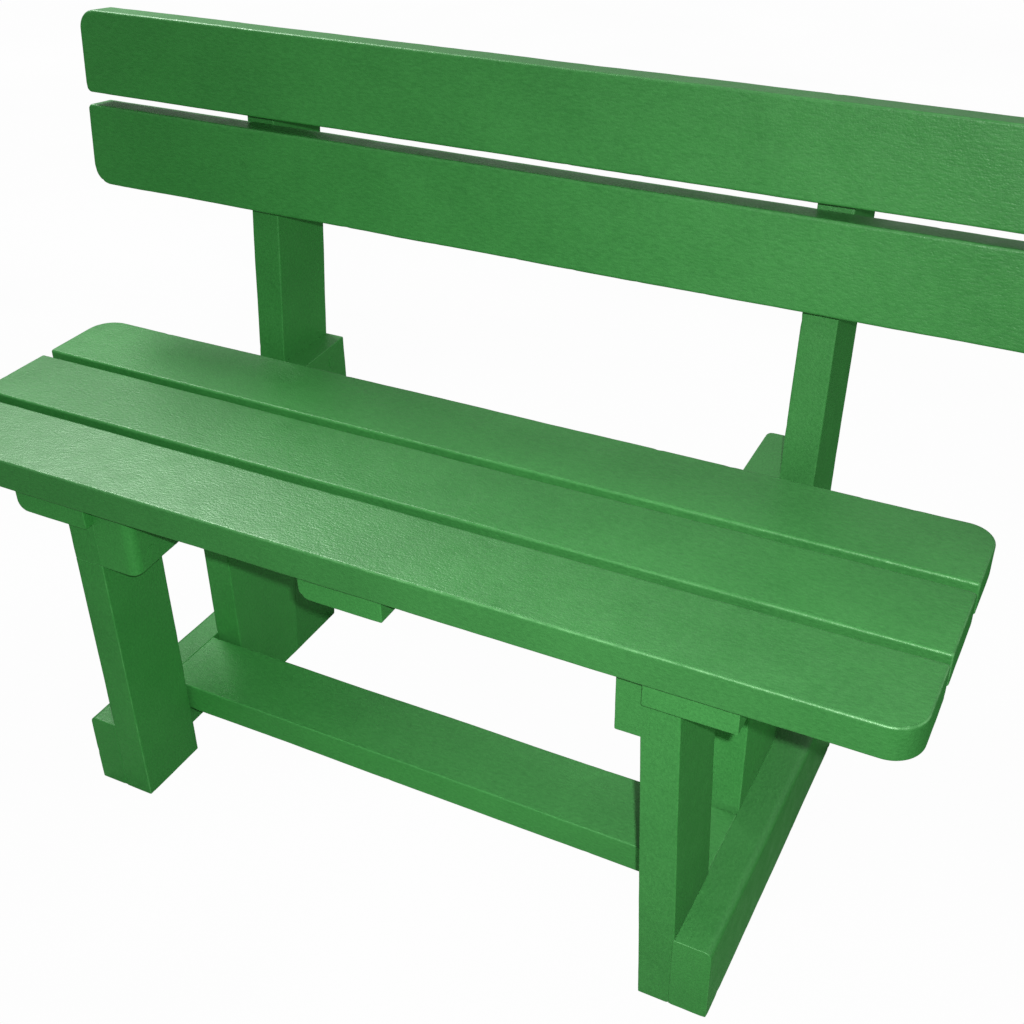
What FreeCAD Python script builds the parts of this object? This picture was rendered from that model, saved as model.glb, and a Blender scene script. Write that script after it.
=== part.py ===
import FreeCAD, Part
import math
import os

# Garden bench with a two-board backrest. Millimetres, +Z up, the sitter faces -Y.
# While the pieces are built, y is counted back from the front edge of the seat.
# Every piece is moved at export so that the origin is the centre of the footprint on the ground.
# "Left" is the -X side and "right" is the +X side.

# Seat boards
SEAT_HEIGHT = 450.0
SEAT_LENGTH = 1080.0
SEAT_BOARD_WIDTH = 97.5
SEAT_BOARD_THICKNESS = 34.0
SEAT_BOARD_GAP = 12.5
SEAT_BOARD_COUNT = 3
SEAT_OUTER_CORNER_RADIUS = 30.0
SEAT_INNER_CORNER_RADIUS = 3.0

# Backrest boards, placed by their distance up the front edge of the back posts
BACK_LENGTH = 1104.0
BACK_BOARD_WIDTH = 91.5
BACK_BOARD_THICKNESS = 34.0
BACK_BOARD_GAP = 14.0
BACK_BOARDS_START = 611.5
BACK_LEAN_DEGREES = 6.0
BACK_OUTER_CORNER_RADIUS = 22.0
BACK_INNER_CORNER_RADIUS = 6.0

# Rounding of board and plank edges
BOARD_FACE_EDGE_RADIUS = 2.5
BOARD_HIDDEN_EDGE_RADIUS = 1.5
PLANK_EDGE_RADIUS = 1.5

# Side frames: distances of the plank faces from the middle of the bench
FRAME_INNER_X = 312.0
PLANK_THICKNESS = 36.0
FRAME_OUTER_X = FRAME_INNER_X + PLANK_THICKNESS
BEARER_FRONT_X = {"left": 263.0, "right": 279.0}
BEARER_REAR_X = {"left": 286.0, "right": 270.0}
RAIL_THICKNESS = {"left": 36.0, "right": 40.0}
RAIL_TOP_EDGE_RADIUS = {"left": 7.0, "right": 8.0}

# Side frames: heights
RAIL_HEIGHT = 94.0
BEARER_HEIGHT = {"left": 83.0, "right": 76.5}
CLEAT_THICKNESS = 30.5
SEAT_UNDERSIDE = SEAT_HEIGHT - SEAT_BOARD_THICKNESS
LEG_BLOCK_BOTTOM = SEAT_UNDERSIDE - BEARER_HEIGHT["left"]
CLEAT_BOTTOM = SEAT_UNDERSIDE - CLEAT_THICKNESS

# Side frames: positions from front to back
FRAME_FRONT = 20.0
FRAME_LENGTH = 440.0
LEFT_LEG_WIDTH = 89.0
RIGHT_LEG_WIDTH = 96.0
RIGHT_LEG_THICKNESS = 37.0
RIGHT_LEG_TILT_DEGREES = 2.0
RIGHT_LEG_FOOT_X = 334.3
REAR_LEG_FRONT = 215.0
POST_FOOT_FRONT = 325.0
POST_WIDTH = 92.0
POST_LENGTH = 780.0
LEFT_BEARER_NOSE_RADIUS = 12.0
RIGHT_BEARER_TAIL_RADIUS = 8.0

# Cleats under the seat boards
CLEAT_WIDTH = {"left": 92.0, "right": 87.0}
CLEAT_INNER_X = {"left": 312.0, "right": 307.0}
MIDDLE_CLEAT_WIDTH = 93.0
CLEAT_INSET = 9.5
CLEAT_ROUNDED_EDGE_RADIUS = 12.0

# Stretcher between the two ground rails
STRETCHER_FRONT = 116.5
STRETCHER_WIDTH = 90.0
STRETCHER_THICKNESS = 36.0

# Countersunk screws and the plugs that cover the visible ones
SHANK_RADIUS = 2.5
HEAD_RADIUS = 6.0
HEAD_DEPTH = 3.5
TIP_LENGTH = 6.0
TIP_RADIUS = 0.4
DRIVE_SIZE = 3.4
DRIVE_DEPTH = 2.2
PLUG_RADIUS = 7.0
PLUG_DEPTH = 6.0
HOLE_CLEARANCE = 0.15
SEAT_SCREW_LENGTH = 52.0
CLEAT_LEG_SCREW_LENGTH = 80.0
CLEAT_BEARER_SCREW_LENGTH = 64.0
BEARER_SCREW_LENGTH = 56.0
BLOCK_SCREW_LENGTH = 90.0
RAIL_SCREW_LENGTH = 60.0
STRETCHER_SCREW_LENGTH = 100.0
BACK_SCREW_LENGTH = 75.0

# Spacing of the screws: a shift is a distance from a plank's middle line
SEAT_SCREW_STAGGER = 25.0
SIDE_SEAT_SCREW_X = (365.0, 385.0)
BLOCK_SCREW_SHIFT = 32.0
BEARER_SCREW_SHIFT = 16.0
STRETCHER_SCREW_SHIFT = 22.0
BACK_SCREW_SHIFTS = (-26.0, 8.0)
REAR_CLEAT_SCREW_Y = 262.0
CLEAT_BEARER_SCREW_Y = (120.0, 200.0)

# Places of the screws along and up each bearer and each ground rail
BEARER_SCREW_LOW = 350.0
BEARER_SCREW_HIGH = 367.0
REAR_LEG_SCREW_Y = (240.0, 300.0)
BEARER_POST_SCREWS = ((390.0, 355.0), (430.0, 395.0))
RAIL_SCREW_LOW = 30.0
RAIL_SCREW_HIGH = 64.0
RAIL_SCREW_PAIRS = ((42.0, 86.0), (240.0, 300.0), (355.0, 395.0))

LEAN = math.radians(BACK_LEAN_DEGREES)
LEG_MIDDLE_X = FRAME_INNER_X + PLANK_THICKNESS / 2
FRONT_LEG_MIDDLE_Y = FRAME_FRONT + LEFT_LEG_WIDTH / 2
SEAT_DEPTH = SEAT_BOARD_COUNT * SEAT_BOARD_WIDTH + (SEAT_BOARD_COUNT - 1) * SEAT_BOARD_GAP
SIDES = {"left": -1, "right": 1}
ACROSS = FreeCAD.Vector(1, 0, 0)
BACKWARD = FreeCAD.Vector(0, 1, 0)
UP = FreeCAD.Vector(0, 0, 1)


def post_point(x, along, behind):
    """Point at a distance up the front edge of a post, and behind that edge."""
    y = POST_FOOT_FRONT + along * math.sin(LEAN) + behind * math.cos(LEAN)
    z = along * math.cos(LEAN) - behind * math.sin(LEAN)
    return FreeCAD.Vector(x, y, z)


BENCH_DEPTH = post_point(0, POST_LENGTH, POST_WIDTH).y


def rounded_outline(width, height, radii):
    """Face from (0, 0) to (width, height); radii go anticlockwise from the corner at (0, 0)."""
    corners = [(0, 0), (width, 0), (width, height), (0, height)]
    inward = [(1, 1), (-1, 1), (-1, -1), (1, -1)]
    starts = []
    ends = []
    middles = []
    for index, (corner, way, radius) in enumerate(zip(corners, inward, radii)):
        on_vertical = FreeCAD.Vector(corner[0], corner[1] + way[1] * radius, 0)
        on_level = FreeCAD.Vector(corner[0] + way[0] * radius, corner[1], 0)
        bulge = radius * (1 - math.sqrt(0.5))
        middles.append(FreeCAD.Vector(corner[0] + way[0] * bulge, corner[1] + way[1] * bulge, 0))
        starts.append(on_vertical if index % 2 == 0 else on_level)
        ends.append(on_level if index % 2 == 0 else on_vertical)
    edges = []
    for index in range(4):
        edges.append(Part.Arc(starts[index], middles[index], ends[index]).toShape())
        edges.append(Part.makeLine(ends[index], starts[(index + 1) % 4]))
    return Part.Face(Part.Wire(edges))


def board(length, width, thickness, radii, upper_radius, lower_radius):
    """Flat board along X from the origin, with rounded corners and rounded face edges."""
    solid = rounded_outline(length, width, radii).extrude(UP * thickness)
    for level, radius in ((thickness, upper_radius), (0.0, lower_radius)):
        edges = [edge for edge in solid.Edges
                 if abs(edge.BoundBox.ZMin - level) < 0.01 and abs(edge.BoundBox.ZMax - level) < 0.01]
        solid = solid.makeFillet(radius, edges)
    return solid


def upright(x, y, z, size_x, size_y, height, radii=(PLANK_EDGE_RADIUS,) * 4):
    """Vertical plank with its low corner at (x, y, z); radii round its long edges."""
    solid = rounded_outline(size_x, size_y, radii).extrude(UP * height)
    solid.translate(FreeCAD.Vector(x, y, z))
    return solid


def lying_back(x, y, z, size_x, size_z, length, radii=(PLANK_EDGE_RADIUS,) * 4):
    """Plank that runs from front to back, with its low front corner at (x, y, z)."""
    solid = rounded_outline(size_x, size_z, radii).extrude(UP * length)
    solid.rotate(FreeCAD.Vector(), ACROSS, 90)
    solid.translate(FreeCAD.Vector(x, y + length, z))
    return solid


def lying_across(x, y, z, size_y, size_z, length):
    """Plank that runs from left to right, with its low left corner at (x, y, z)."""
    solid = rounded_outline(size_z, size_y, (PLANK_EDGE_RADIUS,) * 4).extrude(UP * length)
    solid.rotate(FreeCAD.Vector(), BACKWARD, 90)
    solid.translate(FreeCAD.Vector(x, y, z + size_z))
    return solid


def round_vertical_edge(solid, x, y, radius):
    """Round the vertical end edge nearest to (x, y)."""
    def distance(edge):
        middle = edge.CenterOfMass
        return math.hypot(middle.x - x, middle.y - y)
    upright_edges = [edge for edge in solid.Edges
                     if edge.BoundBox.ZLength > 10 and edge.BoundBox.XLength < 0.01
                     and edge.BoundBox.YLength < 0.01]
    return solid.makeFillet(radius, [min(upright_edges, key=distance)])


def low_x(side, near, far):
    """Lower x of a plank that lies between two distances from the middle."""
    return near if side > 0 else -far


def seat_board_front(index):
    return index * (SEAT_BOARD_WIDTH + SEAT_BOARD_GAP)


def seat_board(index):
    inner, outer = SEAT_INNER_CORNER_RADIUS, SEAT_OUTER_CORNER_RADIUS
    front = outer if index == 0 else inner
    rear = outer if index == SEAT_BOARD_COUNT - 1 else inner
    solid = board(SEAT_LENGTH, SEAT_BOARD_WIDTH, SEAT_BOARD_THICKNESS, (front, front, rear, rear),
                  BOARD_FACE_EDGE_RADIUS, BOARD_HIDDEN_EDGE_RADIUS)
    solid.translate(FreeCAD.Vector(-SEAT_LENGTH / 2, seat_board_front(index), SEAT_UNDERSIDE))
    return solid


def back_board_start(index):
    return BACK_BOARDS_START + index * (BACK_BOARD_WIDTH + BACK_BOARD_GAP)


def back_board(index):
    inner, outer = BACK_INNER_CORNER_RADIUS, BACK_OUTER_CORNER_RADIUS
    radii = (inner, inner, outer, outer) if index else (outer, outer, inner, inner)
    solid = board(BACK_LENGTH, BACK_BOARD_WIDTH, BACK_BOARD_THICKNESS, radii,
                  BOARD_FACE_EDGE_RADIUS, BOARD_HIDDEN_EDGE_RADIUS)
    solid.rotate(FreeCAD.Vector(), ACROSS, 90 - BACK_LEAN_DEGREES)
    solid.translate(post_point(-BACK_LENGTH / 2, back_board_start(index), 0))
    return solid


def left_front_leg():
    return upright(-FRAME_OUTER_X, FRAME_FRONT, 0, PLANK_THICKNESS, LEFT_LEG_WIDTH, LEG_BLOCK_BOTTOM)


def front_leg_block():
    height = CLEAT_BOTTOM - LEG_BLOCK_BOTTOM
    return upright(-FRAME_OUTER_X, FRAME_FRONT, LEG_BLOCK_BOTTOM, PLANK_THICKNESS, LEFT_LEG_WIDTH, height)


def right_front_leg():
    """Leg that leans a little towards the middle, notched round the bearer and the ground rail."""
    spare = PLANK_THICKNESS
    solid = upright(-RIGHT_LEG_THICKNESS / 2, FRAME_FRONT, -spare, RIGHT_LEG_THICKNESS, RIGHT_LEG_WIDTH,
                    CLEAT_BOTTOM + 2 * spare)
    solid.rotate(FreeCAD.Vector(), BACKWARD, -RIGHT_LEG_TILT_DEGREES)
    solid.translate(FreeCAD.Vector(RIGHT_LEG_FOOT_X, 0, 0))
    level_cut = Part.makeBox(4 * spare, RIGHT_LEG_WIDTH + 2 * spare, CLEAT_BOTTOM,
                             FreeCAD.Vector(RIGHT_LEG_FOOT_X - 2 * spare, FRAME_FRONT - spare, 0))
    bearer_notch = Part.makeBox(2 * spare, RIGHT_LEG_WIDTH + 2 * spare, BEARER_HEIGHT["right"],
                                FreeCAD.Vector(FRAME_INNER_X - 2 * spare, FRAME_FRONT - spare,
                                               SEAT_UNDERSIDE - BEARER_HEIGHT["right"]))
    rail_notch = Part.makeBox(2 * spare, RIGHT_LEG_WIDTH + 2 * spare, RAIL_HEIGHT + spare,
                              FreeCAD.Vector(FRAME_OUTER_X, FRAME_FRONT - spare, -spare))
    return solid.common(level_cut).cut([bearer_notch, rail_notch])


def rear_leg(side):
    """Leg whose rear edge is sawn to the slope of the back post behind it."""
    x = low_x(side, FRAME_INNER_X, FRAME_OUTER_X)
    top_rear = POST_FOOT_FRONT + CLEAT_BOTTOM * math.tan(LEAN)
    corners = [(REAR_LEG_FRONT, 0), (POST_FOOT_FRONT, 0),
               (top_rear, CLEAT_BOTTOM), (REAR_LEG_FRONT, CLEAT_BOTTOM)]
    points = [FreeCAD.Vector(x, y, z) for y, z in corners]
    solid = Part.Face(Part.makePolygon(points + points[:1])).extrude(ACROSS * PLANK_THICKNESS)
    long_edges = [edge for edge in solid.Edges if edge.BoundBox.ZLength > CLEAT_BOTTOM / 2]
    return solid.makeFillet(PLANK_EDGE_RADIUS, long_edges)


def back_post(side):
    """Leaning plank whose foot is sawn level with the ground."""
    spare = 2 * POST_WIDTH
    x = low_x(side, FRAME_INNER_X, FRAME_OUTER_X)
    solid = upright(0, 0, -spare, PLANK_THICKNESS, POST_WIDTH, POST_LENGTH + spare)
    solid.rotate(FreeCAD.Vector(), ACROSS, -BACK_LEAN_DEGREES)
    solid.translate(post_point(x, 0, 0))
    below_ground = Part.makeBox(4 * POST_WIDTH, 8 * POST_WIDTH, 4 * POST_WIDTH,
                                FreeCAD.Vector(x - POST_WIDTH, 0, -4 * POST_WIDTH))
    return solid.cut(below_ground)


def seat_bearer(name):
    """Plank inside the legs, sawn to a slight taper, with one vertical end edge rounded."""
    side = SIDES[name]
    height = BEARER_HEIGHT[name]
    rear = FRAME_FRONT + FRAME_LENGTH
    front_inner = FreeCAD.Vector(side * BEARER_FRONT_X[name], FRAME_FRONT, SEAT_UNDERSIDE - height)
    rear_inner = FreeCAD.Vector(side * BEARER_REAR_X[name], rear, SEAT_UNDERSIDE - height)
    front_outer = FreeCAD.Vector(side * FRAME_INNER_X, FRAME_FRONT, SEAT_UNDERSIDE - height)
    rear_outer = FreeCAD.Vector(side * FRAME_INNER_X, rear, SEAT_UNDERSIDE - height)
    outline = Part.makePolygon([front_inner, rear_inner, rear_outer, front_outer, front_inner])
    solid = Part.Face(outline).extrude(UP * height)
    if side < 0:
        solid = round_vertical_edge(solid, front_inner.x, front_inner.y, LEFT_BEARER_NOSE_RADIUS)
    else:
        solid = round_vertical_edge(solid, rear_inner.x, rear_inner.y, RIGHT_BEARER_TAIL_RADIUS)
    long_edges = [edge for edge in solid.Edges if edge.BoundBox.YLength > FRAME_LENGTH / 2]
    solid = solid.makeFillet(PLANK_EDGE_RADIUS, long_edges)
    let_in = FRAME_INNER_X - CLEAT_INNER_X[name]
    if let_in > 0:
        recess = Part.makeBox(let_in, SEAT_DEPTH - CLEAT_INSET - FRAME_FRONT, CLEAT_THICKNESS,
                              FreeCAD.Vector(CLEAT_INNER_X[name], FRAME_FRONT, CLEAT_BOTTOM))
        solid = solid.cut(recess)
    return solid


def ground_rail(name):
    side = SIDES[name]
    outer_x = FRAME_OUTER_X + RAIL_THICKNESS[name]
    x = low_x(side, FRAME_OUTER_X, outer_x)
    worn = RAIL_TOP_EDGE_RADIUS[name]
    plain = PLANK_EDGE_RADIUS
    radii = (plain, plain, worn, plain) if side > 0 else (plain, plain, plain, worn)
    return lying_back(x, FRAME_FRONT, 0, RAIL_THICKNESS[name], RAIL_HEIGHT, FRAME_LENGTH, radii)


def cleat(x, width, low_left_radius):
    radii = (low_left_radius,) + (PLANK_EDGE_RADIUS,) * 3
    length = SEAT_DEPTH - 2 * CLEAT_INSET
    return lying_back(x, CLEAT_INSET, CLEAT_BOTTOM, width, CLEAT_THICKNESS, length, radii)


def side_cleat(name):
    """Flat plank under the three seat boards, on top of the legs."""
    inner_x = CLEAT_INNER_X[name]
    width = CLEAT_WIDTH[name]
    x = low_x(SIDES[name], inner_x, inner_x + width)
    low_left = PLANK_EDGE_RADIUS if SIDES[name] > 0 else CLEAT_ROUNDED_EDGE_RADIUS
    return cleat(x, width, low_left)


def stretcher():
    return lying_across(-FRAME_OUTER_X, STRETCHER_FRONT, RAIL_HEIGHT - STRETCHER_THICKNESS,
                        STRETCHER_WIDTH, STRETCHER_THICKNESS, 2 * FRAME_OUTER_X)


def screw_body(length, grow):
    """Screw that points down from a head whose top is at the origin."""
    head = Part.makeCone(SHANK_RADIUS + grow, HEAD_RADIUS + grow, HEAD_DEPTH,
                         FreeCAD.Vector(0, 0, -HEAD_DEPTH))
    shank_length = length - HEAD_DEPTH - TIP_LENGTH
    shank = Part.makeCylinder(SHANK_RADIUS + grow, shank_length,
                              FreeCAD.Vector(0, 0, -HEAD_DEPTH - shank_length))
    tip = Part.makeCone(TIP_RADIUS + grow, SHANK_RADIUS + grow, TIP_LENGTH, FreeCAD.Vector(0, 0, -length))
    return head.fuse([shank, tip]).removeSplitter()


def aimed(solid, spot, heading):
    """Turn a downward-pointing solid so that it points along heading from spot."""
    placed = solid.copy()
    turn = FreeCAD.Rotation(FreeCAD.Vector(0, 0, -1), heading)
    placed.Placement = FreeCAD.Placement(spot, turn)
    return placed


def screw(spot, heading, length, sunk):
    """Screw driven from a face at spot; its head lies the sunk distance below that face."""
    recess = Part.makeBox(DRIVE_SIZE, DRIVE_SIZE, DRIVE_DEPTH,
                          FreeCAD.Vector(-DRIVE_SIZE / 2, -DRIVE_SIZE / 2, -DRIVE_DEPTH))
    solid = screw_body(length, 0).cut(recess)
    return aimed(solid, spot + heading * sunk, heading)


def screw_hole(spot, heading, length, sunk):
    """Hole for one screw, with a wider mouth when the head is sunk under a plug."""
    hole = screw_body(length, HOLE_CLEARANCE)
    hole.translate(FreeCAD.Vector(0, 0, -sunk))
    if sunk:
        mouth = Part.makeCylinder(PLUG_RADIUS + HOLE_CLEARANCE, sunk, FreeCAD.Vector(0, 0, -sunk))
        hole = hole.fuse(mouth).removeSplitter()
    return aimed(hole, spot, heading)


def plug(spot, heading):
    solid = Part.makeCylinder(PLUG_RADIUS, PLUG_DEPTH, FreeCAD.Vector(0, 0, -PLUG_DEPTH))
    return aimed(solid, spot, heading)


def bearer_face(name, y, z):
    """Point on the inner face of a bearer, and the direction straight into it."""
    side = SIDES[name]
    slope = (BEARER_REAR_X[name] - BEARER_FRONT_X[name]) / FRAME_LENGTH
    spot = FreeCAD.Vector(side * (BEARER_FRONT_X[name] + slope * (y - FRAME_FRONT)), y, z)
    heading = FreeCAD.Vector(side, -slope, 0).normalize()
    return spot, heading


def rail_face(name, y, z):
    """Point on the outer face of a ground rail, and the direction straight into it."""
    side = SIDES[name]
    return FreeCAD.Vector(side * (FRAME_OUTER_X + RAIL_THICKNESS[name]), y, z), ACROSS * -side


def seat_screw_sites():
    """Upward from under each cleat, two for every seat board."""
    sites = []
    columns = [(-SEAT_SCREW_STAGGER, SEAT_SCREW_STAGGER)]
    for side in SIDES.values():
        columns.append((side * SIDE_SEAT_SCREW_X[0], side * SIDE_SEAT_SCREW_X[1]))
    for first_x, second_x in columns:
        for index in range(SEAT_BOARD_COUNT):
            middle = seat_board_front(index) + SEAT_BOARD_WIDTH / 2
            sites.append((FreeCAD.Vector(first_x, middle - SEAT_SCREW_STAGGER, CLEAT_BOTTOM), UP))
            sites.append((FreeCAD.Vector(second_x, middle + SEAT_SCREW_STAGGER, CLEAT_BOTTOM), UP))
    return sites


def cleat_leg_sites():
    """Downward through each side cleat into the tops of the legs."""
    return [(FreeCAD.Vector(side * LEG_MIDDLE_X, y, SEAT_UNDERSIDE), -UP)
            for side in SIDES.values() for y in (FRONT_LEG_MIDDLE_Y, REAR_CLEAT_SCREW_Y)]


def cleat_bearer_sites():
    """Outward through each bearer into the edge of the cleat beside it."""
    height = SEAT_UNDERSIDE - CLEAT_THICKNESS / 2
    return [bearer_face(name, y, height) for name in SIDES for y in CLEAT_BEARER_SCREW_Y]


def bearer_sites():
    """Outward through each bearer into the front leg, the rear leg and the back post."""
    spots = [(FRONT_LEG_MIDDLE_Y - BEARER_SCREW_SHIFT, BEARER_SCREW_LOW),
             (FRONT_LEG_MIDDLE_Y + BEARER_SCREW_SHIFT, BEARER_SCREW_HIGH),
             (REAR_LEG_SCREW_Y[0], BEARER_SCREW_LOW), (REAR_LEG_SCREW_Y[1], BEARER_SCREW_HIGH)]
    spots.extend(BEARER_POST_SCREWS)
    return [bearer_face(name, y, z) for name in SIDES for y, z in spots]


def block_sites():
    """Downward through the left leg block into the end of the leg below it."""
    return [(FreeCAD.Vector(-LEG_MIDDLE_X, FRONT_LEG_MIDDLE_Y + shift, CLEAT_BOTTOM), -UP)
            for shift in (-BLOCK_SCREW_SHIFT, BLOCK_SCREW_SHIFT)]


def rail_sites():
    """Inward through each ground rail into the front leg, the rear leg and the back post."""
    sites = []
    for name in SIDES:
        for first_y, second_y in RAIL_SCREW_PAIRS:
            sites.append(rail_face(name, first_y, RAIL_SCREW_LOW))
            sites.append(rail_face(name, second_y, RAIL_SCREW_HIGH))
    return sites


def stretcher_sites():
    """Inward through each ground rail into the end of the stretcher."""
    height = RAIL_HEIGHT - STRETCHER_THICKNESS / 2
    middle = STRETCHER_FRONT + STRETCHER_WIDTH / 2
    return [rail_face(name, middle + shift, height)
            for name in SIDES for shift in (-STRETCHER_SCREW_SHIFT, STRETCHER_SCREW_SHIFT)]


def back_sites():
    """Through the front of each backrest board into the back posts, kept below the tops of the posts."""
    heading = FreeCAD.Vector(0, math.cos(LEAN), -math.sin(LEAN))
    sites = []
    for side in SIDES.values():
        for index in range(2):
            middle = back_board_start(index) + BACK_BOARD_WIDTH / 2
            for shift in BACK_SCREW_SHIFTS:
                spot = post_point(side * LEG_MIDDLE_X, middle + shift, -BACK_BOARD_THICKNESS)
                sites.append((spot, heading))
    return sites


def make_planks():
    planks = {
        "seat_board_front": seat_board(0),
        "seat_board_middle": seat_board(1),
        "seat_board_rear": seat_board(2),
        "back_board_lower": back_board(0),
        "back_board_upper": back_board(1),
        "front_leg_left": left_front_leg(),
        "front_leg_right": right_front_leg(),
        "front_leg_block_left": front_leg_block(),
        "seat_cleat_middle": cleat(-MIDDLE_CLEAT_WIDTH / 2, MIDDLE_CLEAT_WIDTH, CLEAT_ROUNDED_EDGE_RADIUS),
        "stretcher": stretcher(),
    }
    for name, side in SIDES.items():
        planks["rear_leg_" + name] = rear_leg(side)
        planks["back_post_" + name] = back_post(side)
        planks["seat_bearer_" + name] = seat_bearer(name)
        planks["ground_rail_" + name] = ground_rail(name)
        planks["seat_cleat_" + name] = side_cleat(name)
    return planks


# Each row: group name, sites, screw length, depth of the head below the face, plug group name
SCREW_GROUPS = [
    ("seat_board_screws", seat_screw_sites(), SEAT_SCREW_LENGTH, 0, None),
    ("cleat_leg_screws", cleat_leg_sites(), CLEAT_LEG_SCREW_LENGTH, 0, None),
    ("leg_block_screws", block_sites(), BLOCK_SCREW_LENGTH, 0, None),
    ("cleat_bearer_screws", cleat_bearer_sites(), CLEAT_BEARER_SCREW_LENGTH, PLUG_DEPTH, "bearer_plugs"),
    ("bearer_screws", bearer_sites(), BEARER_SCREW_LENGTH, PLUG_DEPTH, "bearer_plugs"),
    ("rail_screws", rail_sites(), RAIL_SCREW_LENGTH, PLUG_DEPTH, "rail_plugs"),
    ("stretcher_screws", stretcher_sites(), STRETCHER_SCREW_LENGTH, PLUG_DEPTH, "rail_plugs"),
    ("back_board_screws", back_sites(), BACK_SCREW_LENGTH, PLUG_DEPTH, "back_board_plugs"),
]


def make_fasteners():
    """Screw and plug groups, and the hole that each screw needs."""
    groups = {}
    holes = []
    for name, sites, length, sunk, plug_name in SCREW_GROUPS:
        groups[name] = [screw(spot, heading, length, sunk) for spot, heading in sites]
        holes += [screw_hole(spot, heading, length, sunk) for spot, heading in sites]
        if plug_name:
            groups.setdefault(plug_name, []).extend(plug(spot, heading) for spot, heading in sites)
    return groups, holes


def drilled(plank, holes):
    reaching = [hole for hole in holes if plank.BoundBox.intersect(hole.BoundBox)]
    return plank.cut(reaching) if reaching else plank


def export(name, shape):
    shape.translate(FreeCAD.Vector(0, -BENCH_DEPTH / 2, 0))
    shape.exportStep("parts/" + name + ".step")


os.makedirs("parts", exist_ok=True)
fastener_groups, screw_holes = make_fasteners()
for plank_name, plank_shape in make_planks().items():
    finished = drilled(plank_shape, screw_holes)
    export(plank_name, finished.Solids[0])
    print(plank_name, len(finished.Solids), "solid, volume", round(finished.Volume))
for group_name, members in fastener_groups.items():
    export(group_name, Part.makeCompound(members))
    print(group_name, len(members), "solids")
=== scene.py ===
import math
import zlib

import bpy
import numpy as np
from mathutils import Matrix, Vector


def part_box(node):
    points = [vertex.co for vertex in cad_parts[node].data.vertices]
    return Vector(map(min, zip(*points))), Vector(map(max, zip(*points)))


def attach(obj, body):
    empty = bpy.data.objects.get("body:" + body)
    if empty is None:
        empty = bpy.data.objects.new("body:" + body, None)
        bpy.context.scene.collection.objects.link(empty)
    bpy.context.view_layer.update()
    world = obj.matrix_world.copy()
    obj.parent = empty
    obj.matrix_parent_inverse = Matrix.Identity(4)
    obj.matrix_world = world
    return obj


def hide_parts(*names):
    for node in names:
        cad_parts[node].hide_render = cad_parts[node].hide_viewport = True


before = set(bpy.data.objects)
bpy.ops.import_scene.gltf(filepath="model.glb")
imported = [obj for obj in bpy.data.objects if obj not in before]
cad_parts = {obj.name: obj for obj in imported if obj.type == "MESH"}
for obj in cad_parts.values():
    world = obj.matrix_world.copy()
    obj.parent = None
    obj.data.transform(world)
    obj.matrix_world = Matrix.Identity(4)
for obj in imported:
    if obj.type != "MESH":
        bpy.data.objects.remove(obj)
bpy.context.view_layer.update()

# Shapes that the frame doesn't state, in metres
LEAN = math.radians(6.0)
BACK_BOARD_WIDTH = 0.0915
BACK_BOARD_THICKNESS = 0.034
POST_WIDTH = 0.092
SEAT_OUTER_CORNER = 0.030
SEAT_INNER_CORNER = 0.003
BACK_OUTER_CORNER = 0.022
BACK_INNER_CORNER = 0.006
BOARD_FACE_EDGE = 0.0025
BOARD_HIDDEN_EDGE = 0.0015
PLANK_EDGE = 0.0015
SEAM_EDGE = 0.0006
SAWN_END_EDGE = 0.0010
CLEAT_ROUNDED_EDGE = 0.012
LEFT_RAIL_EDGE = 0.007
RIGHT_RAIL_EDGE = 0.008
SHARP = 0.000001

# Right front leg, which leans towards the middle
LEG_TILT = math.radians(2.0)
LEG_FOOT_X = 0.3343
LEG_THICKNESS = 0.037

# Depth of each rear leg at the ground
REAR_LEG_FOOT = 0.110

# Thickness of each bearer at its front and rear ends, and the radius of its one rounded upright edge
LEFT_BEARER = (0.049, 0.026)
RIGHT_BEARER = (0.033, 0.042)
LEFT_BEARER_NOSE = 0.012
RIGHT_BEARER_TAIL = 0.008

# Mesh of every plank: grid spacing in metres, finest at the edges, and how fast it grows inward
FINEST_SPACING = 0.0005
MESH_SPACING = 0.006
SPACING_GROWTH = 0.17

# Rows in each rounded rim, how far in from it the cap is squeezed (in metres and as a share of the
# cap), and where the extra rows lie around a sudden change of shape
RIM_STEPS = 5
TUCK_REACH = 0.02
TUCK_SHARE = 0.45
STEP_ROWS = (-0.0010, -0.0002, 0.0002, 0.0010)

# Surface of every plank, in metres: paint build, slow and fast unevenness, and edge dents
PAINT_BUILD = 0.00025
SLOW_WAVE = 0.00022
SLOW_WAVELENGTH = 0.16
FAST_WAVE = 0.00006
FAST_WAVELENGTH = 0.03
NICK_DEPTH = 0.0006
NICK_RADIUS = 0.005
NICKS_PER_METRE = 6
NICKED_ABOVE = 0.7

# Colours: the paint drifts from deep to full green. Towards the right-hand end it is painted paler and
# greyer, a painted light for the brighter, whiter lighting there. Its pale edges are partly real wear and
# partly a painted highlight.
DEEP_GREEN = (0.023, 0.160, 0.030)
FULL_GREEN = (0.035, 0.218, 0.043)
# pale green of the edges: partly real wear, partly a painted highlight
PALE_WEAR_AND_HIGHLIGHT_GREEN = (0.200, 0.480, 0.200)
LIT_END_PAINTED_TINT = (1.36, 1.00, 1.24)
LIT_END_PAINTED_FROM = -0.45
LIT_END_PAINTED_TO = 0.30
SHEEN_TINT = (0.70, 1.0, 0.70)
BRIGHT_STEEL = (0.50, 0.51, 0.52)
STAINED_STEEL = (0.30, 0.28, 0.25)

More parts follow.
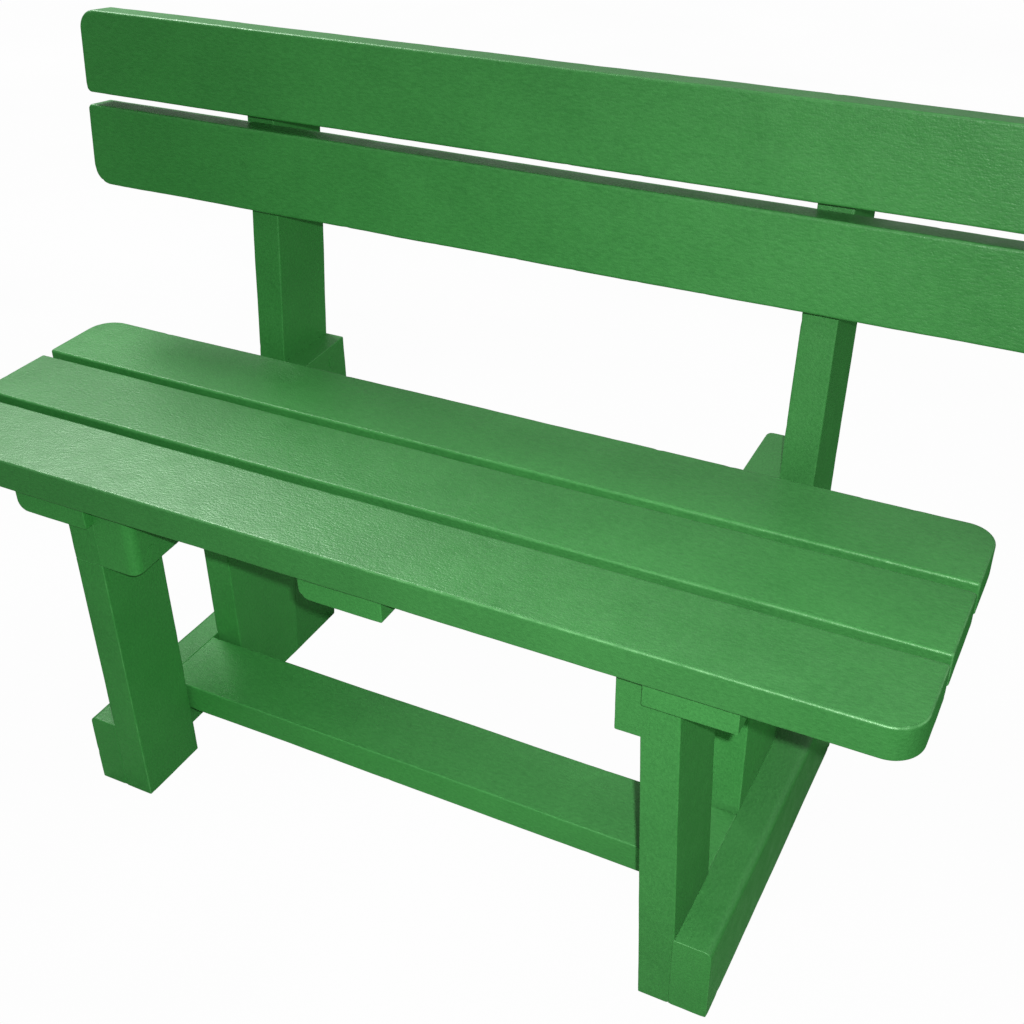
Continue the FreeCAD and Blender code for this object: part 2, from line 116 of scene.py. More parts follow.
# Painted light and shade: how much lighter or darker some planks are painted than the rest, for how
# brightly each is lit
PLANK_PAINTED_LIGHT_AND_SHADE = {"seat_board_front": 0.84, "seat_board_middle": 0.93, "seat_board_rear": 1.08,
               "back_board_upper": 1.09, "back_board_lower": 1.09, "stretcher": 1.15,
               "rear_leg_right": 1.45, "rear_leg_left": 1.15, "seat_bearer_right": 0.92,
               "ground_rail_right": 1.04}

# How strongly a plank shines; the front seat board is polished by use
SHEEN = 0.50
SHEEN_ON_PLANK = {"seat_board_front": 0.76}

# Pale edges, partly real wear and partly a painted highlight: they start at this x on each plank
# and strengthen towards the brightly lit right-hand end. Edges rounder than the widest of them stay
# green.
WIDEST_WORN_AND_HIGHLIT_EDGE = 0.004
WEAR_AND_HIGHLIGHT_FROM = 0.20
WEAR_AND_HIGHLIGHT_FROM_ON_PLANK = {"seat_board_front": -0.20, "front_leg_left": -0.60, "front_leg_block_left": -0.60}
WEAR_AND_HIGHLIGHT_FADE = 0.45
WEAR_AND_HIGHLIGHT_LEAST = 0.06
WEAR_AND_HIGHLIGHT_MOST = 0.38

# Noise scales of the paint, where a larger number is finer, and the roughness and relief they give.
# Each relief is the height in metres and the strength of one bump.
FIBRE_SCALE = 430
PEEL_SCALE = 520
MOTTLE_SCALE = 7
PATCH_SCALE = 38
RAGGED_SCALE = 60
ROUGHNESS_RANGE = (0.37, 0.47)
PEEL_ROUGHNESS = (-0.05, 0.05)
GRAIN_RELIEF = (0.0008, 0.65)
PATCH_RELIEF = (0.0012, 0.12)

# How much the fibres of a plank that runs along x, y or z are drawn out: 1 is an even speckle
# and less is streakier. The fibres of the backrest boards are streakier and run at a slant.
FIBRE_GRIP = (0.45, 0.55, 0.65)
BACK_FIBRE_GRIP = 0.35
BACK_FIBRE_TURN = (0, math.radians(50), 0)

# Camera, placed from the front edge of the seat
CAMERA_PLACE = (0.6209, -0.8271, 1.1590)
CAMERA_TURN = (57.085, 0.72, 27.05)
CAMERA_LENS = 47.73
CAMERA_SENSOR = 36

# Each light: name, place, the point that it faces, width in metres, spread in degrees, energy in watts
LIGHTS = [
    ("flash", (0.655, -1.076, 1.208), (0.10, -0.10, 0.10), 0.02, 110, 9.1),
    ("window", (-1.47, 0.66, 2.15), (-0.20, -0.19, 0.45), 0.75, 180, 40.0),
]
WORLD_STRENGTH = 0.39

# Floor: half its side in metres, the colours that it bounces under the bench and to its right,
# the x where one colour starts to give way to the other and where it has gone, and how bright it looks
FLOOR_REACH = 14.0
FLOOR_BOUNCE = (0.20, 0.36, 0.20)
FLOOR_BOUNCE_RIGHT = (0.06, 0.34, 0.07)
FLOOR_SHADE = (0.34, 0.50)
FLOOR_GLOW = 0.97

LENGTHWISE = Vector((1, 0, 0))
BACKWARD = Vector((0, 1, 0))
UPWARD = Vector((0, 0, 1))
UP_THE_BACK = Vector((0, math.sin(LEAN), math.cos(LEAN)))
BEHIND_THE_BACK = Vector((0, math.cos(LEAN), -math.sin(LEAN)))


def seed_of(name):
    """The same whole number on every run for the same name."""
    return zlib.crc32(name.encode()) % 100000


# ---------------------------------------------------------------- plank meshes

def graded(length):
    """Positions from 0 to length, close together at both ends and evenly spaced between."""
    half = [0.0]
    while half[-1] < length / 2:
        half.append(half[-1] + min(MESH_SPACING, FINEST_SPACING + SPACING_GROWTH * half[-1]))
    scale = length / 2 / half[-1]
    low = [place * scale for place in half]
    return np.array(low + [length - place for place in reversed(low[:-1])])


def round_corners(points, size, radii):
    """Pull grid points over a rectangle into a rounded rectangle; also give outward directions."""
    moved = points.copy()
    outward = np.zeros_like(points)
    tiny = 1e-9
    outward[points[:, 1] < tiny, 1] = -1
    outward[points[:, 1] > size[1] - tiny, 1] = 1
    outward[points[:, 0] < tiny, 0] = -1
    outward[points[:, 0] > size[0] - tiny, 0] = 1
    corners = [(0, 0, 1, 1), (size[0], 0, -1, 1), (size[0], size[1], -1, -1), (0, size[1], 1, -1)]
    for (corner_u, corner_v, way_u, way_v), radius in zip(corners, radii):
        along_u = 1 - (points[:, 0] - corner_u) * way_u / radius
        along_v = 1 - (points[:, 1] - corner_v) * way_v / radius
        inside = (along_u > 0) & (along_v > 0)
        square_u, square_v = along_u[inside], along_v[inside]
        disc_u = square_u * np.sqrt(1 - square_v * square_v / 2)
        disc_v = square_v * np.sqrt(1 - square_u * square_u / 2)
        moved[inside, 0] = corner_u + way_u * radius * (1 - disc_u)
        moved[inside, 1] = corner_v + way_v * radius * (1 - disc_v)
        reach = np.maximum(np.hypot(disc_u, disc_v), tiny)
        outward[inside, 0] = -way_u * disc_u / reach
        outward[inside, 1] = -way_v * disc_v / reach
    return moved, outward


def tucked_in(points, size, radius):
    """Squeeze grid points near the rim inward, to leave room for a rounded rim."""
    squeezed = points.copy()
    for axis in (0, 1):
        reach = min(TUCK_REACH, TUCK_SHARE * size[axis])
        low = np.clip(1 - points[:, axis] / reach, 0, 1)
        high = np.clip(1 - (size[axis] - points[:, axis]) / reach, 0, 1)
        squeezed[:, axis] += radius * (low - high)
    return squeezed


def rim_rows(radius):
    """Inset, depth and edge weight of the rows that round a rim, from the cap to the wall."""
    rows = []
    for step in range(RIM_STEPS + 1):
        turn = math.pi / 2 * step / RIM_STEPS
        rows.append((radius * (1 - math.sin(turn)), radius * (1 - math.cos(turn)), math.sin(2 * turn)))
    return rows


def wall_rows(length, low_rim, high_rim, steps):
    """Rows of a whole plank, from one cap to the other, with extra ones around each step."""
    wall = list(graded(length - low_rim - high_rim)[1:-1] + low_rim)
    wall = sorted(wall + [step + shift for step in steps for shift in STEP_ROWS])
    rows = rim_rows(low_rim)
    rows += [(0.0, height, 0.0) for height in wall]
    rows += [(inset, length - depth, weight) for inset, depth, weight in reversed(rim_rows(high_rim))]
    return rows


def long_edge_weights(grid, outward, size, radii):
    """How much each grid point on the outline belongs to a long edge that can wear and carry the painted
    highlight.
    """
    can_wear_and_highlight = np.zeros(len(grid))
    for radius, corner_u, corner_v in zip(radii, (0, size[0], size[0], 0), (0, 0, size[1], size[1])):
        near = np.maximum(abs(grid[:, 0] - corner_u), abs(grid[:, 1] - corner_v)) < radius
        can_wear_and_highlight[near] = 1.0 if radius < WIDEST_WORN_AND_HIGHLIT_EDGE else 0.0
    return 2 * abs(outward[:, 0] * outward[:, 1]) * can_wear_and_highlight


def plank_points(size, radii, low_rim, high_rim, steps):
    """Vertices, faces and edge weights of a plank from the origin to size, rounded all over.

    Steps are the heights where the caller's shape changes suddenly; they get extra rows.
    """
    lines_u, lines_v = graded(size[0]), graded(size[1])
    count_u, count_v = len(lines_u), len(lines_v)
    grid = np.array([(u, v) for u in lines_u for v in lines_v])
    rounded, outward = round_corners(grid, size, radii)
    index = np.arange(count_u * count_v).reshape(count_u, count_v)
    loop = np.concatenate([index[:, 0], index[-1, 1:], index[-2::-1, -1], index[0, -2:0:-1]])
    interior = index[1:-1, 1:-1].ravel()

    vertices, weights = [], []
    rows = wall_rows(size[2], low_rim, high_rim, steps)
    slant = long_edge_weights(grid, outward, size, radii)
    for inset, height, weight in rows:
        ring = rounded[loop] - outward[loop] * inset
        vertices.append(np.column_stack([ring, np.full(len(loop), height)]))
        weights.append(np.maximum(weight, slant[loop]))
    ring_total = len(rows) * len(loop)

    cap_indices = []
    start = ring_total
    for height, rim, row in ((0.0, low_rim, 0), (size[2], high_rim, len(rows) - 1)):
        inner = tucked_in(rounded[interior], size, rim)
        vertices.append(np.column_stack([inner, np.full(len(interior), height)]))
        weights.append(np.zeros(len(interior)))
        lookup = np.zeros(len(grid), int)
        lookup[loop] = row * len(loop) + np.arange(len(loop))
        lookup[interior] = start + np.arange(len(interior))
        cap_indices.append(lookup.reshape(count_u, count_v))
        start += len(interior)

    faces = []
    this = np.arange(len(loop))
    following = (this + 1) % len(loop)
    for row in range(len(rows) - 1):
        low, high = row * len(loop), (row + 1) * len(loop)
        faces.append(np.column_stack([low + this, low + following, high + following, high + this]))
    bottom, top = cap_indices
    faces.append(np.column_stack([top[:-1, :-1].ravel(), top[1:, :-1].ravel(),
                                  top[1:, 1:].ravel(), top[:-1, 1:].ravel()]))
    faces.append(np.column_stack([bottom[:-1, :-1].ravel(), bottom[:-1, 1:].ravel(),
                                  bottom[1:, 1:].ravel(), bottom[1:, :-1].ravel()]))
    return np.vstack(vertices), np.vstack(faces), np.concatenate(weights)


def ripple(points, seed, wavelength, waves=14):
    """Smooth unevenness between about -1 and 1 at each point, the same on every run."""
    draw = np.random.default_rng(seed)
    total = np.zeros(len(points))
    for _ in range(waves):
        heading = draw.normal(size=3)
        heading /= np.linalg.norm(heading)
        rate = 2 * math.pi / (wavelength * draw.uniform(0.6, 1.7))
        total += np.sin(points @ heading * rate + draw.uniform(0, 2 * math.pi))
    return total / math.sqrt(waves)


def nicks(points, weights, seed):
    """Depth of the small dents along the rounded edges at each point."""
    draw = np.random.default_rng(seed)
    depth = np.zeros(len(points))
    edge_points = np.flatnonzero(weights > NICKED_ABOVE)
    all_long_edges = 4 * np.ptp(points, axis=0).max()
    for _ in range(int(all_long_edges * NICKS_PER_METRE)):
        centre = points[draw.choice(edge_points)]
        radius = NICK_RADIUS * draw.uniform(0.4, 1.3)
        away = np.linalg.norm(points - centre, axis=1) / radius
        dent = NICK_DEPTH * draw.uniform(0.2, 1.0) * np.clip(1 - away * away, 0, 1) ** 2
        depth = np.maximum(depth, dent)
    return depth


def mesh_object(name, vertices, faces):
    mesh = bpy.data.meshes.new(name)
    mesh.from_pydata(vertices.tolist(), [], faces.tolist())
    mesh.polygons.foreach_set("use_smooth", np.ones(len(faces), bool))
    mesh.update()
    made = bpy.data.objects.new(name, mesh)
    bpy.context.scene.collection.objects.link(made)
    return made


def worn_surface(plank, weights, seed):
    """Give a plank its paint build, slow waves and edge dents, and store the edge weights."""
    mesh = plank.data
    points = np.zeros(len(mesh.vertices) * 3)
    mesh.vertices.foreach_get("co", points)
    points = points.reshape(-1, 3)
    normals = np.zeros(len(mesh.vertices) * 3)
    mesh.vertex_normals.foreach_get("vector", normals)
    normals = normals.reshape(-1, 3)
    slow = SLOW_WAVE * ripple(points, seed, SLOW_WAVELENGTH)
    fast = FAST_WAVE * ripple(points, seed + 1, FAST_WAVELENGTH)
    offset = PAINT_BUILD + slow + fast - nicks(points, weights, seed + 2)
    mesh.vertices.foreach_set("co", (points + normals * offset[:, None]).ravel())
    wear_and_highlight_weight = mesh.attributes.new("edge_wear", "FLOAT", "POINT")
    wear_and_highlight_weight.data.foreach_set("value", weights.astype(np.float32))
    mesh.update()


def plank(node, place, axes, size, radii, low_rim, high_rim, shape=None, steps=()):
    """Painted plank that stands for a CAD node; axes are its three local directions."""
    points, faces, weights = plank_points(size, radii, low_rim, high_rim, steps)
    if shape:
        points = shape(points)
    turned = np.array(place) + points @ np.array([list(axis) for axis in axes])
    made = mesh_object(node + "_painted", turned, faces)
    worn_surface(made, weights, seed_of(node))
    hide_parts(node)
    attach(made, "root")
    return made


def seat_board(node, front_corner, rear_corner):
    low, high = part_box(node)
    size = high - low
    radii = (front_corner, front_corner, rear_corner, rear_corner)
    axes = (LENGTHWISE, BACKWARD, UPWARD)
    return plank(node, low, axes, size, radii, BOARD_HIDDEN_EDGE, BOARD_FACE_EDGE)


def back_board(node, low_corner, high_corner):
    """Leaning board; its thickness runs forward, so that its far rim is the front one."""
    low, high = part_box(node)
    size = (high.x - low.x, BACK_BOARD_WIDTH, BACK_BOARD_THICKNESS)
    axes = (LENGTHWISE, UP_THE_BACK, -BEHIND_THE_BACK)
    middle = (low + high) / 2
    place = middle - sum((axis * extent / 2 for axis, extent in zip(axes, size)), Vector())
    radii = (low_corner, low_corner, high_corner, high_corner)
    return plank(node, place, axes, size, radii, BOARD_HIDDEN_EDGE, BOARD_FACE_EDGE)


def leg(node, radii):
    low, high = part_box(node)
    axes = (LENGTHWISE, BACKWARD, UPWARD)
    return plank(node, low, axes, high - low, radii, SAWN_END_EDGE, SAWN_END_EDGE)


def rear_leg(node, radii):
    """Leg whose rear edge slopes like the back post behind it."""
    low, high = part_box(node)
    size = high - low

    def slope(points):
        points[:, 1] *= (REAR_LEG_FOOT + points[:, 2] * math.tan(LEAN)) / size.y
        return points

    axes = (LENGTHWISE, BACKWARD, UPWARD)
    return plank(node, low, axes, size, radii, SAWN_END_EDGE, SAWN_END_EDGE, slope)


def back_post(node, radii):
    """Leaning post, its foot sawn level with the ground."""
    low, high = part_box(node)
    length = high.z / math.cos(LEAN)
    foot = high.y - length * math.sin(LEAN) - POST_WIDTH * math.cos(LEAN)

    def saw_the_foot(points):
        start = points[:, 1] * math.tan(LEAN)
        points[:, 2] = start + points[:, 2] * (length - start) / length
        return points

    size = (high.x - low.x, POST_WIDTH, length)
    axes = (LENGTHWISE, BEHIND_THE_BACK, UP_THE_BACK)
    return plank(node, (low.x, foot, 0), axes, size, radii, SAWN_END_EDGE, SAWN_END_EDGE, saw_the_foot)


def leaning_leg(node):
    """Right front leg: its sides lean, but it stops square at the bearer above and the rail below."""
    low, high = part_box(node)
    bearer_low, bearer_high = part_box("seat_bearer_right")
    rail_low, rail_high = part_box("ground_rail_right")
    size = high - low

    def lean(points):
        middle = LEG_FOOT_X - points[:, 2] * math.tan(LEG_TILT)
        left = middle - LEG_THICKNESS / 2
        right = middle + LEG_THICKNESS / 2
        left = np.where(points[:, 2] > bearer_low.z, bearer_high.x, left)
        right = np.where(points[:, 2] < rail_high.z, rail_low.x, right)
        points[:, 0] = left + points[:, 0] / size.x * (right - left)
        return points

    radii = (SEAM_EDGE, PLANK_EDGE, PLANK_EDGE, SEAM_EDGE)
    axes = (LENGTHWISE, BACKWARD, UPWARD)
    return plank(node, (0, low.y, 0), axes, size, radii, SAWN_END_EDGE, SAWN_END_EDGE,
                 lean, (bearer_low.z, rail_high.z))


def beam(node, radii, end_edge=SAWN_END_EDGE, shape=None):
    """Plank that runs from front to back; radii go round its front face from the low right corner."""
    low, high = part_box(node)
    size = Vector((high.x - low.x, high.z - low.z, high.y - low.y))
    axes = (-LENGTHWISE, UPWARD, BACKWARD)
    place = (high.x, low.y, low.z)
    return plank(node, place, axes, size, radii, end_edge, end_edge, shape)


def left_bearer():
    """Its inner face, at local zero, slants outward to the rear; the front inner edge is rounded."""
    low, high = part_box("seat_bearer_left")
    front, rear = LEFT_BEARER

    def taper(points):
        length = high.y - low.y
        flat = np.column_stack([points[:, 0], points[:, 2]])
        rounded, _ = round_corners(flat, (front, length), (LEFT_BEARER_NOSE, SHARP, SHARP, SHARP))
        share = (front + (rear - front) * rounded[:, 1] / length) / front
        points[:, 0] = front - (front - rounded[:, 0]) * share
        points[:, 2] = rounded[:, 1]
        return points

    return beam("seat_bearer_left", (PLANK_EDGE, SEAM_EDGE, SEAM_EDGE, PLANK_EDGE), SEAM_EDGE, taper)


def right_bearer():
    """Its inner face slants inward to a rounded rear edge; the cleat is let into its top."""
    low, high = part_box("seat_bearer_right")
    cleat_low, cleat_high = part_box("seat_cleat_right")
    front, rear = RIGHT_BEARER

    def taper(points):
        length = high.y - low.y
        flat = np.column_stack([points[:, 0], points[:, 2]])
        rounded, _ = round_corners(flat, (rear, length), (SHARP, SHARP, RIGHT_BEARER_TAIL, SHARP))
        share = (front + (rear - front) * rounded[:, 1] / length) / rear
        points[:, 0] = rounded[:, 0] * share
        points[:, 2] = rounded[:, 1]
        beside_cleat = (points[:, 1] > cleat_low.z - low.z) & (points[:, 2] < cleat_high.y - low.y)
        points[beside_cleat, 0] = np.maximum(points[beside_cleat, 0], high.x - cleat_low.x)
        return points

    return beam("seat_bearer_right", (SEAM_EDGE, PLANK_EDGE, PLANK_EDGE, SEAM_EDGE), SEAM_EDGE, taper)


def cross_beam(node):
    low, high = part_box(node)
    size = Vector((high.y - low.y, high.z - low.z, high.x - low.x))
    axes = (BACKWARD, UPWARD, LENGTHWISE)
    return plank(node, low, axes, size, (PLANK_EDGE,) * 4, SAWN_END_EDGE, SAWN_END_EDGE)


# ---------------------------------------------------------------- materials

class Nodes:
    """Short ways to add and join the nodes of one material."""

    def __init__(self, name):
        self.material = bpy.data.materials.new(name)
        self.material.use_nodes = True
        self.tree = self.material.node_tree
        self.surface = self.tree.nodes["Principled BSDF"]

    def add(self, kind, **settings):
        node = self.tree.nodes.new(kind)
        for key, value in settings.items():
            setattr(node, key, value)
        return node

    def join(self, source, target):
        self.tree.links.new(source, target)

    def noise(self, vector, scale, detail=2.0, roughness=0.5):
        node = self.add("ShaderNodeTexNoise")
        node.inputs["Scale"].default_value = scale
        node.inputs["Detail"].default_value = detail
        node.inputs["Roughness"].default_value = roughness
        self.join(vector, node.inputs["Vector"])
        return node.outputs["Fac"]

    def stretched(self, vector, scale, turn=(0, 0, 0), shift=(0, 0, 0)):
        node = self.add("ShaderNodeMapping")
        node.inputs["Scale"].default_value = scale
        node.inputs["Rotation"].default_value = turn
        node.inputs["Location"].default_value = shift
        self.join(vector, node.inputs["Vector"])
        return node.outputs["Vector"]

    def remap(self, value, low, high, new_low, new_high):
        node = self.add("ShaderNodeMapRange")
        node.inputs["From Min"].default_value = low
        node.inputs["From Max"].default_value = high
        node.inputs["To Min"].default_value = new_low
        node.inputs["To Max"].default_value = new_high
        self.join(value, node.inputs["Value"])
        return node.outputs["Result"]

    def maths(self, operation, first, second):
        node = self.add("ShaderNodeMath", operation=operation)
        for slot, value in zip(node.inputs, (first, second)):
            if isinstance(value, (int, float)):
                slot.default_value = value
            else:
                self.join(value, slot)
        return node.outputs[0]

    def blend(self, share, first, second):
        node = self.add("ShaderNodeMix", data_type="RGBA")
        self.join(share, node.inputs["Factor"])
        for slot, value in ((node.inputs[6], first), (node.inputs[7], second)):
            if isinstance(value, tuple):
                slot.default_value = (*value, 1.0)
            else:
                self.join(value, slot)
        return node.outputs[2]

    def multiply(self, first, second):
        """Product of two colours."""
        node = self.add("ShaderNodeMix", data_type="RGBA", blend_type="MULTIPLY")
        node.inputs["Factor"].default_value = 1.0
        self.join(first, node.inputs[6])
        self.join(second, node.inputs[7])
        return node.outputs[2]

    def bump(self, height, distance, strength, under=None):
        node = self.add("ShaderNodeBump")
        node.inputs["Distance"].default_value = distance
        node.inputs["Strength"].default_value = strength
        self.join(height, node.inputs["Height"])
        if under:
            self.join(under, node.inputs["Normal"])
        return node.outputs["Normal"]


def green_paint(name, grain, turn=(0, 0, 0), grip=1.0, painted_light_and_shade=1.0, wear_and_highlight_from=WEAR_AND_HIGHLIGHT_FROM, sheen=SHEEN):
    """Satin green over a fibrous, peened surface; grain is the axis that the fibres follow."""
    nodes = Nodes(name)
    seed = seed_of(name)
    shift = (seed % 17, seed % 29, seed % 41)
    place = nodes.add("ShaderNodeTexCoord").outputs["Object"]
    scale = [1.0, 1.0, 1.0]
    scale[grain] = grip
    fibres = nodes.noise(nodes.stretched(place, scale, turn, shift), FIBRE_SCALE, 3, 0.6)
    shifted = nodes.stretched(place, (1, 1, 1), shift=shift)
    peel = nodes.noise(shifted, PEEL_SCALE, 2, 0.5)
    mottle = nodes.noise(shifted, MOTTLE_SCALE, 3, 0.55)
    patches = nodes.noise(shifted, PATCH_SCALE, 2, 0.5)

    shade = nodes.maths("ADD", nodes.maths("MULTIPLY", mottle, 0.4), nodes.maths("MULTIPLY", fibres, 0.6))
    # painted light and shade: each plank's greens are scaled lighter or darker for how brightly it is lit
    deep, full = (tuple(share * painted_light_and_shade for share in colour) for colour in (DEEP_GREEN, FULL_GREEN))
    colour = nodes.blend(nodes.remap(shade, 0.35, 0.65, 0, 1), deep, full)
    split = nodes.add("ShaderNodeSeparateXYZ")
    nodes.join(place, split.inputs["Vector"])
    # painted light: the colour turns paler and greyer towards the right-hand end, where the bench is lit
    # most brightly
    lit_end_painted_share = nodes.remap(split.outputs["X"], LIT_END_PAINTED_FROM, LIT_END_PAINTED_TO, 0, 1)
    colour = nodes.multiply(colour, nodes.blend(lit_end_painted_share, (1.0, 1.0, 1.0), LIT_END_PAINTED_TINT))
    # pale edges, partly real wear and partly a painted highlight, strongest on the middle of each rounded
    # rim and towards the right-hand end
    wear_and_highlight_weight = nodes.add("ShaderNodeAttribute", attribute_name="edge_wear").outputs["Fac"]
    ragged = nodes.noise(shifted, RAGGED_SCALE, 3, 0.6)
    wear_and_highlight_along_x = nodes.remap(split.outputs["X"], wear_and_highlight_from, wear_and_highlight_from + WEAR_AND_HIGHLIGHT_FADE, WEAR_AND_HIGHLIGHT_LEAST, WEAR_AND_HIGHLIGHT_MOST)
    rubbed_and_highlit_rim = nodes.remap(wear_and_highlight_weight, 0.7, 1.0, 0, 1)
    worn_and_highlit = nodes.maths("MULTIPLY", rubbed_and_highlit_rim, nodes.remap(ragged, 0.38, 0.60, 0.1, 1))
    colour = nodes.blend(nodes.maths("MULTIPLY", worn_and_highlit, wear_and_highlight_along_x), colour, PALE_WEAR_AND_HIGHLIGHT_GREEN)
    nodes.join(colour, nodes.surface.inputs["Base Color"])

    broad = nodes.remap(patches, 0.3, 0.7, *ROUGHNESS_RANGE)
    fine = nodes.remap(peel, 0.3, 0.7, *PEEL_ROUGHNESS)
    nodes.join(nodes.maths("ADD", broad, fine), nodes.surface.inputs["Roughness"])
    relief = nodes.maths("ADD", nodes.maths("MULTIPLY", peel, 0.5), nodes.maths("MULTIPLY", fibres, 0.7))
    normal = nodes.bump(relief, *GRAIN_RELIEF)
    normal = nodes.bump(patches, *PATCH_RELIEF, normal)
    nodes.join(normal, nodes.surface.inputs["Normal"])
    nodes.surface.inputs["Specular IOR Level"].default_value = sheen
    nodes.surface.inputs["Specular Tint"].default_value = (*SHEEN_TINT, 1.0)
    return nodes.material


def screw_steel():
    nodes = Nodes("screw_steel_worn")
    place = nodes.add("ShaderNodeTexCoord").outputs["Object"]
    turned_marks = nodes.noise(nodes.stretched(place, (1, 1, 8)), 900, 2)
    stain = nodes.noise(place, 260, 3)
    colour = nodes.blend(nodes.remap(stain, 0.4, 0.7, 0, 1), BRIGHT_STEEL, STAINED_STEEL)
    nodes.join(colour, nodes.surface.inputs["Base Color"])
    nodes.surface.inputs["Metallic"].default_value = 1.0
    nodes.join(nodes.remap(stain, 0.3, 0.7, 0.28, 0.5), nodes.surface.inputs["Roughness"])
    nodes.join(nodes.bump(turned_marks, 0.0002, 0.3), nodes.surface.inputs["Normal"])
    return nodes.material


def floor_material():
    """Floor that looks evenly white to the camera; the light that it bounces is greener to the right."""
    nodes = Nodes("pale_floor")
    place = nodes.add("ShaderNodeTexCoord").outputs["Object"]
    cloud = nodes.noise(place, 1.5, 3)
    split = nodes.add("ShaderNodeSeparateXYZ")
    nodes.join(place, split.inputs["Vector"])
    shade = nodes.remap(split.outputs["X"], *FLOOR_SHADE, 0, 1)
    nodes.join(nodes.blend(shade, FLOOR_BOUNCE, FLOOR_BOUNCE_RIGHT), nodes.surface.inputs["Base Color"])
    nodes.surface.inputs["Roughness"].default_value = 0.9
    nodes.surface.inputs["Specular IOR Level"].default_value = 0.1
    seen = nodes.add("ShaderNodeEmission")
    nodes.join(nodes.remap(cloud, 0, 1, FLOOR_GLOW, 1.0), seen.inputs["Strength"])
    choice = nodes.add("ShaderNodeMixShader")
    nodes.join(nodes.add("ShaderNodeLightPath").outputs["Is Camera Ray"], choice.inputs["Fac"])
    nodes.join(nodes.surface.outputs["BSDF"], choice.inputs[1])
    nodes.join(seen.outputs["Emission"], choice.inputs[2])
    nodes.join(choice.outputs["Shader"], nodes.tree.nodes["Material Output"].inputs["Surface"])
    return nodes.material


def dress(piece, material):
    """Give a piece one material and no other."""
    piece.data.materials.clear()
    piece.data.materials.append(material)


# ---------------------------------------------------------------- the bench

def build_bench():
    """Every plank of the bench, each with the axis that its fibres follow: 0 is x, 1 is y, 2 is z."""
    made = []
    made.append((seat_board("seat_board_front", SEAT_OUTER_CORNER, SEAT_INNER_CORNER), 0))
    made.append((seat_board("seat_board_middle", SEAT_INNER_CORNER, SEAT_INNER_CORNER), 0))
    made.append((seat_board("seat_board_rear", SEAT_INNER_CORNER, SEAT_OUTER_CORNER), 0))
    made.append((back_board("back_board_lower", BACK_OUTER_CORNER, BACK_INNER_CORNER), 0))
    made.append((back_board("back_board_upper", BACK_INNER_CORNER, BACK_OUTER_CORNER), 0))
    made.append((leg("front_leg_block_left", (PLANK_EDGE,) * 4), 2))
    made.append((cross_beam("stretcher"), 0))
    plain = (PLANK_EDGE,) * 4
    worn_low_left = (PLANK_EDGE, CLEAT_ROUNDED_EDGE, PLANK_EDGE, PLANK_EDGE)
    made.append((beam("seat_cleat_left", worn_low_left), 1))
    made.append((beam("seat_cleat_middle", worn_low_left), 1))
    made.append((beam("seat_cleat_right", plain), 1))
    made.append((leg("front_leg_left", plain), 2))
    made.append((leaning_leg("front_leg_right"), 2))
    made.append((left_bearer(), 1))
    made.append((right_bearer(), 1))
    made.append((beam("ground_rail_left", (SEAM_EDGE, PLANK_EDGE, LEFT_RAIL_EDGE, SEAM_EDGE)), 1))
    made.append((beam("ground_rail_right", (PLANK_EDGE, SEAM_EDGE, SEAM_EDGE, RIGHT_RAIL_EDGE)), 1))
    for side in ("left", "right"):
        made.append((rear_leg("rear_leg_" + side, (PLANK_EDGE, PLANK_EDGE, SEAM_EDGE, SEAM_EDGE)), 2))
        made.append((back_post("back_post_" + side, plain), 2))
    return made


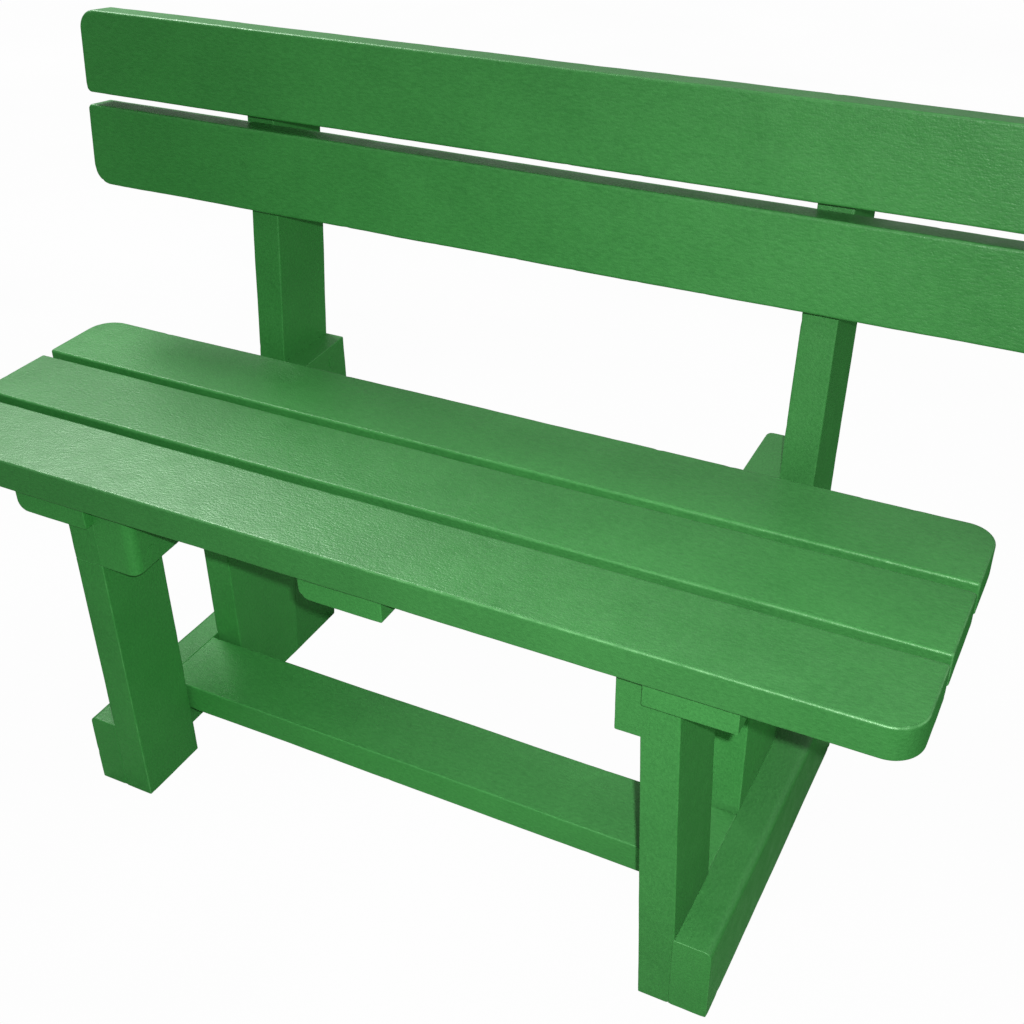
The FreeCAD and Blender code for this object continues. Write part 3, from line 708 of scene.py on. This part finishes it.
def paint_bench(pieces):
    for piece, grain in pieces:
        node = piece.name.removesuffix("_painted")
        on_back = node.startswith("back_board")
        turn = BACK_FIBRE_TURN if on_back else (0, 0, 0)
        grip = BACK_FIBRE_GRIP if on_back else FIBRE_GRIP[grain]
        painted_light_and_shade = PLANK_PAINTED_LIGHT_AND_SHADE.get(node, 1.0)
        wear_and_highlight_from = WEAR_AND_HIGHLIGHT_FROM_ON_PLANK.get(node, WEAR_AND_HIGHLIGHT_FROM)
        sheen = SHEEN_ON_PLANK.get(node, SHEEN)
        dress(piece, green_paint(piece.name + "_green", grain, turn, grip, painted_light_and_shade, wear_and_highlight_from, sheen))
    steel = screw_steel()
    filler = green_paint("plug_green", 0)
    for name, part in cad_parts.items():
        if name.endswith("_screws"):
            dress(part, steel)
        if name.endswith("_plugs"):
            dress(part, filler)


# ---------------------------------------------------------------- floor, light and camera

def area_light(name, place, target, width, spread, energy):
    light = bpy.data.lights.new(name, "AREA")
    light.shape = "SQUARE"
    light.size = width
    light.spread = math.radians(spread)
    light.energy = energy
    made = bpy.data.objects.new(name, light)
    bpy.context.scene.collection.objects.link(made)
    made.location = place
    made.rotation_euler = (Vector(target) - Vector(place)).to_track_quat("-Z", "Y").to_euler()


def pale_world():
    """White surroundings that light the bench gently but look as bright as the floor."""
    world = bpy.data.worlds.new("studio")
    world.use_nodes = True
    tree = world.node_tree
    background = tree.nodes["Background"]
    background.inputs["Color"].default_value = (1, 1, 1, 1)
    rays = tree.nodes.new("ShaderNodeLightPath")
    strength = tree.nodes.new("ShaderNodeMapRange")
    strength.inputs["To Min"].default_value = WORLD_STRENGTH
    strength.inputs["To Max"].default_value = FLOOR_GLOW
    tree.links.new(rays.outputs["Is Camera Ray"], strength.inputs["Value"])
    tree.links.new(strength.outputs["Result"], background.inputs["Strength"])
    return world


def studio():
    reach = FLOOR_REACH
    corners = np.array([(-reach, -reach, 0), (reach, -reach, 0), (reach, reach, 0), (-reach, reach, 0)])
    floor = mesh_object("floor", corners, np.array([[0, 1, 2, 3]]))
    dress(floor, floor_material())
    bpy.context.scene.world = pale_world()
    for settings in LIGHTS:
        area_light(*settings)
    bpy.context.scene.view_settings.view_transform = "Standard"


def camera():
    lens = bpy.data.cameras.new("camera")
    lens.lens = CAMERA_LENS
    lens.sensor_width = CAMERA_SENSOR
    made = bpy.data.objects.new("camera", lens)
    bpy.context.scene.collection.objects.link(made)
    seat_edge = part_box("seat_board_front")[0].y
    made.location = Vector(CAMERA_PLACE) + seat_edge * BACKWARD
    made.rotation_euler = [math.radians(turn) for turn in CAMERA_TURN]
    bpy.context.scene.camera = made


paint_bench(build_bench())
studio()
camera()
